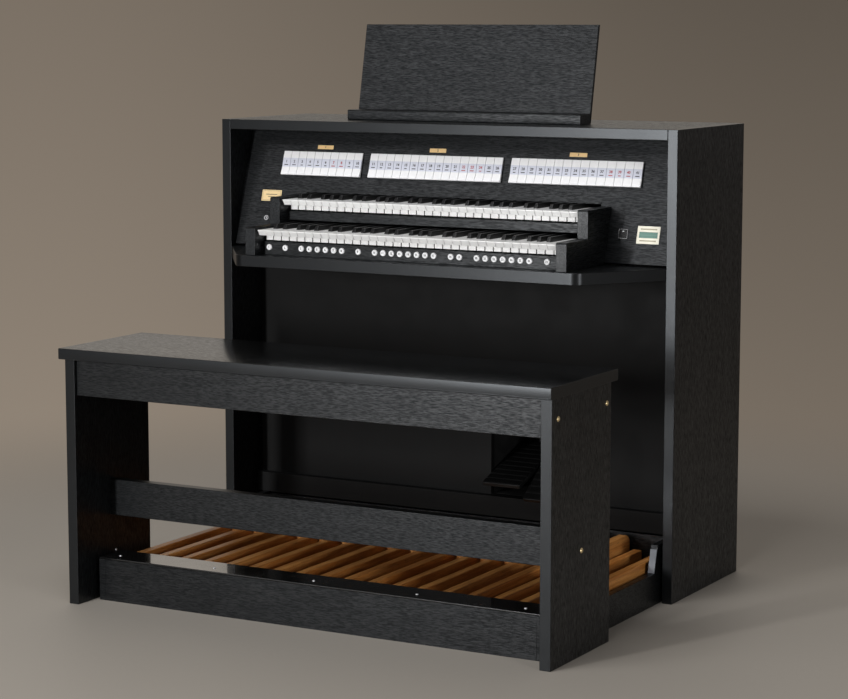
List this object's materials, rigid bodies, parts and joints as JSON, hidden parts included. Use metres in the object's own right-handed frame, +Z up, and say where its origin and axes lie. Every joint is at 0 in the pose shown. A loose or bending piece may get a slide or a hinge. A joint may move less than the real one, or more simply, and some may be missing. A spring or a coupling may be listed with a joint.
{
  "type": "digital church organ",
  "caption": "Two-manual digital church organ: black wood console with stop tabs, pistons, music desk and swell shoes, a wooden pedalboard and a separate bench.",
  "frame": {"origin": "on the floor, under the middle of the whole instrument's box", "axes": "+X to the player's right, +Y from the player towards the console's back, +Z up"},
  "size_m": [1.331, 1.1484, 1.4113],
  "materials": {
    "black_ash": "black ash-grain laminate, satin",
    "black_carcass": "black painted board, matt",
    "black_gloss": "smooth black, glossy",
    "black_rubber": "ribbed black rubber tread",
    "white_key": "white key covering, satin gloss",
    "black_key": "black key covering, satin gloss",
    "white_button": "white moulded plastic",
    "lock_steel": "turned steel",
    "oak": "clear-lacquered oak"
  },
  "bodies": {
    "console": {"console_side_left": "black_ash", "console_side_right": "black_ash", "console_top": "black_ash", "console_back": "black_carcass", "stop_panel": "black_ash", "key_table": "black_ash", "knee_panel": "black_ash", "swell_box": "black_carcass", "key_cheek_left": "black_ash", "key_cheek_right": "black_ash", "lower_key_frame": "black_ash", "upper_key_frame": "black_ash", "music_desk": "black_ash", "pedal_frame": "black_ash", "pedal_heel_plate": "black_gloss"},
    "bench": {"bench_top": "black_ash", "bench_side_left": "black_ash", "bench_side_right": "black_ash", "bench_apron_front": "black_ash", "bench_apron_rear": "black_ash", "bench_stretcher": "black_ash"},
    "lower_naturals": {"lower_naturals": "white_key"},
    "lower_sharps": {"lower_sharps": "black_key"},
    "upper_naturals": {"upper_naturals": "white_key"},
    "upper_sharps": {"upper_sharps": "black_key"},
    "thumb_pistons": {"thumb_pistons": "white_button"},
    "stop_tabs": {"stop_tabs": "white_button"},
    "key_switch": {"key_switch": "lock_steel"},
    "swell_shoe_left": {"swell_shoe_left": "black_rubber"},
    "swell_shoe_right": {"swell_shoe_right": "black_rubber"},
    "pedal_01": {"pedal_01": "oak"},
    "pedal_02": {"pedal_02": "oak"},
    "pedal_03": {"pedal_03": "oak"},
    "pedal_04": {"pedal_04": "oak"},
    "pedal_05": {"pedal_05": "oak"},
    "pedal_06": {"pedal_06": "oak"},
    "pedal_07": {"pedal_07": "oak"},
    "pedal_08": {"pedal_08": "oak"},
    "pedal_09": {"pedal_09": "oak"},
    "pedal_10": {"pedal_10": "oak"},
    "pedal_11": {"pedal_11": "oak"},
    "pedal_12": {"pedal_12": "oak"},
    "pedal_13": {"pedal_13": "oak"},
    "pedal_14": {"pedal_14": "oak"},
    "pedal_15": {"pedal_15": "oak"},
    "pedal_16": {"pedal_16": "oak"},
    "pedal_17": {"pedal_17": "oak"},
    "pedal_18": {"pedal_18": "oak"},
    "pedal_19": {"pedal_19": "oak"},
    "pedal_20": {"pedal_20": "oak"},
    "pedal_21": {"pedal_21": "oak"},
    "pedal_22": {"pedal_22": "oak"},
    "pedal_23": {"pedal_23": "oak"},
    "pedal_24": {"pedal_24": "oak"},
    "pedal_25": {"pedal_25": "oak"},
    "pedal_26": {"pedal_26": "oak"},
    "pedal_27": {"pedal_27": "oak"},
    "pedal_28": {"pedal_28": "oak"},
    "pedal_29": {"pedal_29": "oak"},
    "pedal_30": {"pedal_30": "oak"}
  },
  "joints": [
    {"name": "bench_slide", "type": "slide", "parent": "console", "child": "bench", "axis": [0, 1, 0], "range_m": [-0.15, 0.1]},
    {"name": "lower_naturals_tilt", "type": "hinge", "parent": "console", "child": "lower_naturals", "pos_m": [-0.0115, 0.2112, 0.87], "axis": [1, 0, 0], "range_deg": [0, 2.2], "stiffness_Nm_per_rad": 60, "springref_deg": -8.59},
    {"name": "lower_sharps_tilt", "type": "hinge", "parent": "console", "child": "lower_sharps", "pos_m": [-0.0115, 0.2242, 0.882], "axis": [1, 0, 0], "range_deg": [0, 2.2], "stiffness_Nm_per_rad": 40, "springref_deg": -6.88},
    {"name": "upper_naturals_tilt", "type": "hinge", "parent": "console", "child": "upper_naturals", "pos_m": [-0.0115, 0.3304, 0.94], "axis": [1, 0, 0], "range_deg": [0, 2.2], "stiffness_Nm_per_rad": 60, "springref_deg": -8.59},
    {"name": "upper_sharps_tilt", "type": "hinge", "parent": "console", "child": "upper_sharps", "pos_m": [-0.0115, 0.3434, 0.952], "axis": [1, 0, 0], "range_deg": [0, 2.2], "stiffness_Nm_per_rad": 40, "springref_deg": -6.88},
    {"name": "thumb_pistons_press", "type": "slide", "parent": "console", "child": "thumb_pistons", "axis": [0, 1, 0], "range_m": [0, 0.0025], "stiffness_N_per_m": 400, "springref_m": -0.004},
    {"name": "stop_tabs_rock", "type": "hinge", "parent": "console", "child": "stop_tabs", "pos_m": [-0.0115, 0.25384, 1.03925], "axis": [1, 0, 0], "range_deg": [-3, 3], "stiffness_Nm_per_rad": 30, "springref_deg": -0.23},
    {"name": "key_switch_turn", "type": "hinge", "parent": "console", "child": "key_switch", "pos_m": [-0.5531, 0.18879, 0.90274], "axis": [0, 0.9624, -0.2718], "range_deg": [0, 90]},
    {"name": "swell_shoe_left_tilt", "type": "hinge", "parent": "console", "child": "swell_shoe_left", "pos_m": [0.126, 0.3586, 0.2446], "axis": [1, 0, 0], "range_deg": [0, 16]},
    {"name": "swell_shoe_right_tilt", "type": "hinge", "parent": "console", "child": "swell_shoe_right", "pos_m": [0.238, 0.3586, 0.2446], "axis": [1, 0, 0], "range_deg": [-16, 0]},
    {"name": "pedal_01_press", "type": "hinge", "parent": "console", "child": "pedal_01", "pos_m": [-0.5757, -0.4348, 0.0677], "axis": [-1, 0, 0], "range_deg": [0, 1], "stiffness_Nm_per_rad": 120, "springref_deg": -3.44},
    {"name": "pedal_02_press", "type": "hinge", "parent": "console", "child": "pedal_02", "pos_m": [-0.5421, -0.4348, 0.0677], "axis": [-1, 0, 0], "range_deg": [0, 1], "stiffness_Nm_per_rad": 120, "springref_deg": -3.44},
    {"name": "pedal_03_press", "type": "hinge", "parent": "console", "child": "pedal_03", "pos_m": [-0.5085, -0.4348, 0.0677], "axis": [-1, 0, 0], "range_deg": [0, 1], "stiffness_Nm_per_rad": 120, "springref_deg": -3.44},
    {"name": "pedal_04_press", "type": "hinge", "parent": "console", "child": "pedal_04", "pos_m": [-0.4749, -0.4348, 0.0677], "axis": [-1, 0, 0], "range_deg": [0, 1], "stiffness_Nm_per_rad": 120, "springref_deg": -3.44},
    {"name": "pedal_05_press", "type": "hinge", "parent": "console", "child": "pedal_05", "pos_m": [-0.4413, -0.4348, 0.0677], "axis": [-1, 0, 0], "range_deg": [0, 1], "stiffness_Nm_per_rad": 120, "springref_deg": -3.44},
    {"name": "pedal_06_press", "type": "hinge", "parent": "console", "child": "pedal_06", "pos_m": [-0.3741, -0.4348, 0.0677], "axis": [-1, 0, 0], "range_deg": [0, 1], "stiffness_Nm_per_rad": 120, "springref_deg": -3.44},
    {"name": "pedal_07_press", "type": "hinge", "parent": "console", "child": "pedal_07", "pos_m": [-0.3405, -0.4348, 0.0677], "axis": [-1, 0, 0], "range_deg": [0, 1], "stiffness_Nm_per_rad": 120, "springref_deg": -3.44},
    {"name": "pedal_08_press", "type": "hinge", "parent": "console", "child": "pedal_08", "pos_m": [-0.3069, -0.4348, 0.0677], "axis": [-1, 0, 0], "range_deg": [0, 1], "stiffness_Nm_per_rad": 120, "springref_deg": -3.44},
    {"name": "pedal_09_press", "type": "hinge", "parent": "console", "child": "pedal_09", "pos_m": [-0.2733, -0.4348, 0.0677], "axis": [-1, 0, 0], "range_deg": [0, 1], "stiffness_Nm_per_rad": 120, "springref_deg": -3.44},
    {"name": "pedal_10_press", "type": "hinge", "parent": "console", "child": "pedal_10", "pos_m": [-0.2397, -0.4348, 0.0677], "axis": [-1, 0, 0], "range_deg": [0, 1], "stiffness_Nm_per_rad": 120, "springref_deg": -3.44},
    {"name": "pedal_11_press", "type": "hinge", "parent": "console", "child": "pedal_11", "pos_m": [-0.2061, -0.4348, 0.0677], "axis": [-1, 0, 0], "range_deg": [0, 1], "stiffness_Nm_per_rad": 120, "springref_deg": -3.44},
    {"name": "pedal_12_press", "type": "hinge", "parent": "console", "child": "pedal_12", "pos_m": [-0.1725, -0.4348, 0.0677], "axis": [-1, 0, 0], "range_deg": [0, 1], "stiffness_Nm_per_rad": 120, "springref_deg": -3.44},
    {"name": "pedal_13_press", "type": "hinge", "parent": "console", "child": "pedal_13", "pos_m": [-0.1053, -0.4348, 0.0677], "axis": [-1, 0, 0], "range_deg": [0, 1], "stiffness_Nm_per_rad": 120, "springref_deg": -3.44},
    {"name": "pedal_14_press", "type": "hinge", "parent": "console", "child": "pedal_14", "pos_m": [-0.0717, -0.4348, 0.0677], "axis": [-1, 0, 0], "range_deg": [0, 1], "stiffness_Nm_per_rad": 120, "springref_deg": -3.44},
    {"name": "pedal_15_press", "type": "hinge", "parent": "console", "child": "pedal_15", "pos_m": [-0.0381, -0.4348, 0.0677], "axis": [-1, 0, 0], "range_deg": [0, 1], "stiffness_Nm_per_rad": 120, "springref_deg": -3.44},
    {"name": "pedal_16_press", "type": "hinge", "parent": "console", "child": "pedal_16", "pos_m": [-0.0045, -0.4348, 0.0677], "axis": [-1, 0, 0], "range_deg": [0, 1], "stiffness_Nm_per_rad": 120, "springref_deg": -3.44},
    {"name": "pedal_17_press", "type": "hinge", "parent": "console", "child": "pedal_17", "pos_m": [0.0291, -0.4348, 0.0677], "axis": [-1, 0, 0], "range_deg": [0, 1], "stiffness_Nm_per_rad": 120, "springref_deg": -3.44},
    {"name": "pedal_18_press", "type": "hinge", "parent": "console", "child": "pedal_18", "pos_m": [0.0963, -0.4348, 0.0677], "axis": [-1, 0, 0], "range_deg": [0, 1], "stiffness_Nm_per_rad": 120, "springref_deg": -3.44},
    {"name": "pedal_19_press", "type": "hinge", "parent": "console", "child": "pedal_19", "pos_m": [0.1299, -0.4348, 0.0677], "axis": [-1, 0, 0], "range_deg": [0, 1], "stiffness_Nm_per_rad": 120, "springref_deg": -3.44},
    {"name": "pedal_20_press", "type": "hinge", "parent": "console", "child": "pedal_20", "pos_m": [0.1635, -0.4348, 0.0677], "axis": [-1, 0, 0], "range_deg": [0, 1], "stiffness_Nm_per_rad": 120, "springref_deg": -3.44},
    {"name": "pedal_21_press", "type": "hinge", "parent": "console", "child": "pedal_21", "pos_m": [0.1971, -0.4348, 0.0677], "axis": [-1, 0, 0], "range_deg": [0, 1], "stiffness_Nm_per_rad": 120, "springref_deg": -3.44},
    {"name": "pedal_22_press", "type": "hinge", "parent": "console", "child": "pedal_22", "pos_m": [0.2307, -0.4348, 0.0677], "axis": [-1, 0, 0], "range_deg": [0, 1], "stiffness_Nm_per_rad": 120, "springref_deg": -3.44},
    {"name": "pedal_23_press", "type": "hinge", "parent": "console", "child": "pedal_23", "pos_m": [0.2643, -0.4348, 0.0677], "axis": [-1, 0, 0], "range_deg": [0, 1], "stiffness_Nm_per_rad": 120, "springref_deg": -3.44},
    {"name": "pedal_24_press", "type": "hinge", "parent": "console", "child": "pedal_24", "pos_m": [0.2979, -0.4348, 0.0677], "axis": [-1, 0, 0], "range_deg": [0, 1], "stiffness_Nm_per_rad": 120, "springref_deg": -3.44},
    {"name": "pedal_25_press", "type": "hinge", "parent": "console", "child": "pedal_25", "pos_m": [0.3651, -0.4348, 0.0677], "axis": [-1, 0, 0], "range_deg": [0, 1], "stiffness_Nm_per_rad": 120, "springref_deg": -3.44},
    {"name": "pedal_26_press", "type": "hinge", "parent": "console", "child": "pedal_26", "pos_m": [0.3987, -0.4348, 0.0677], "axis": [-1, 0, 0], "range_deg": [0, 1], "stiffness_Nm_per_rad": 120, "springref_deg": -3.44},
    {"name": "pedal_27_press", "type": "hinge", "parent": "console", "child": "pedal_27", "pos_m": [0.4323, -0.4348, 0.0677], "axis": [-1, 0, 0], "range_deg": [0, 1], "stiffness_Nm_per_rad": 120, "springref_deg": -3.44},
    {"name": "pedal_28_press", "type": "hinge", "parent": "console", "child": "pedal_28", "pos_m": [0.4659, -0.4348, 0.0677], "axis": [-1, 0, 0], "range_deg": [0, 1], "stiffness_Nm_per_rad": 120, "springref_deg": -3.44},
    {"name": "pedal_29_press", "type": "hinge", "parent": "console", "child": "pedal_29", "pos_m": [0.4995, -0.4348, 0.0677], "axis": [-1, 0, 0], "range_deg": [0, 1], "stiffness_Nm_per_rad": 120, "springref_deg": -3.44},
    {"name": "pedal_30_press", "type": "hinge", "parent": "console", "child": "pedal_30", "pos_m": [0.5667, -0.4348, 0.0677], "axis": [-1, 0, 0], "range_deg": [0, 1], "stiffness_Nm_per_rad": 120, "springref_deg": -3.44}
  ]
}
